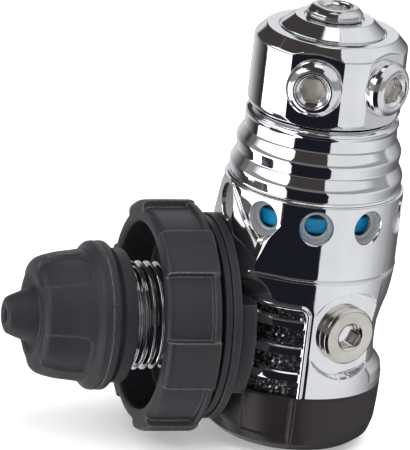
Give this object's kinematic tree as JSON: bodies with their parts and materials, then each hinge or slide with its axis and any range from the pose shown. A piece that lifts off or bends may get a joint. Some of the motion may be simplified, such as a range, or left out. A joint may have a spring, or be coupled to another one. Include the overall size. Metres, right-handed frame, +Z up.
{
  "type": "scuba regulator first stage",
  "caption": "Chromed balanced-piston scuba first stage with swivel turret, plugged ports, black base cover and a DIN handwheel closed by a dust cap.",
  "frame": {"origin": "centre of the flat underside of the base cover", "axes": "+Z up the body axis towards the turret, -X along the DIN connection towards the cylinder valve"},
  "size_m": [0.0831, 0.0486, 0.0941],
  "materials": {
    "chrome": "polished chrome plate on brass",
    "chrome_plugs": "polished chrome plate, turned",
    "nickel": "satin nickel plate, faced on a lathe",
    "stainless": "machined stainless steel",
    "spring_steel": "drawn spring wire",
    "o_ring_rubber": "greased nitrile rubber",
    "blue_plastic": "satin blue plastic",
    "white_plastic": "waxy white plastic",
    "bronze": "sintered bronze grains",
    "cover_plastic": "satin moulded black plastic",
    "collar_plastic": "matte moulded black plastic",
    "wheel_rubber": "grained black rubber moulding",
    "cap_rubber": "matte soft black rubber"
  },
  "bodies": {
    "first_stage": {"body": "chrome", "ridged_cap": "chrome", "turret_bolt": "chrome", "thrust_washer": "white_plastic", "swivel_orings": "o_ring_rubber", "top_plug": "chrome_plugs", "top_plug_oring": "o_ring_rubber", "high_pressure_plugs": "nickel", "high_pressure_orings": "o_ring_rubber", "spring_base_washer": "blue_plastic", "insulator_sleeve": "blue_plastic", "stem_bushing": "white_plastic", "stem_oring": "o_ring_rubber", "bushing_retainer": "stainless", "valve_seat": "white_plastic", "seat_carrier": "stainless", "seat_spring": "spring_steel", "seat_retainer": "stainless", "seat_retainer_oring": "o_ring_rubber", "base_cover": "cover_plastic", "side_pads": "collar_plastic", "collar_disc": "collar_plastic", "collar_lip": "collar_plastic", "din_stem": "chrome", "din_stem_oring": "o_ring_rubber", "din_filter": "bronze", "filter_snap_ring": "stainless", "din_face_oring": "o_ring_rubber", "coupling_washer": "white_plastic"},
    "turret": {"turret": "chrome", "lp_plugs": "chrome_plugs", "lp_plug_orings": "o_ring_rubber"},
    "piston": {"piston": "stainless", "piston_head_oring": "o_ring_rubber", "spring_top_washer": "white_plastic", "main_spring": "spring_steel"},
    "handwheel": {"din_coupling": "chrome", "handwheel": "wheel_rubber"},
    "dust_cap": {"dust_cap": "cap_rubber"}
  },
  "joints": [
    {"name": "turret_swivel", "type": "hinge", "parent": "first_stage", "child": "turret", "pos_m": [0, 0, 0.0802], "axis": [0, 0, 1], "continuous": true},
    {"name": "piston_stroke", "type": "slide", "parent": "first_stage", "child": "piston", "axis": [0, 0, -1], "range_m": [0, 0.0012], "stiffness_N_per_m": 2000, "springref_m": -0.002, "deforming": ["main_spring"]},
    {"name": "handwheel_spin", "type": "hinge", "parent": "first_stage", "child": "handwheel", "pos_m": [-0.03, 0, 0.0252], "axis": [-1, 0, 0], "continuous": true},
    {"name": "dust_cap_pull", "type": "slide", "parent": "handwheel", "child": "dust_cap", "axis": [-1, 0, 0], "range_m": [0, 0.025]}
  ]
}
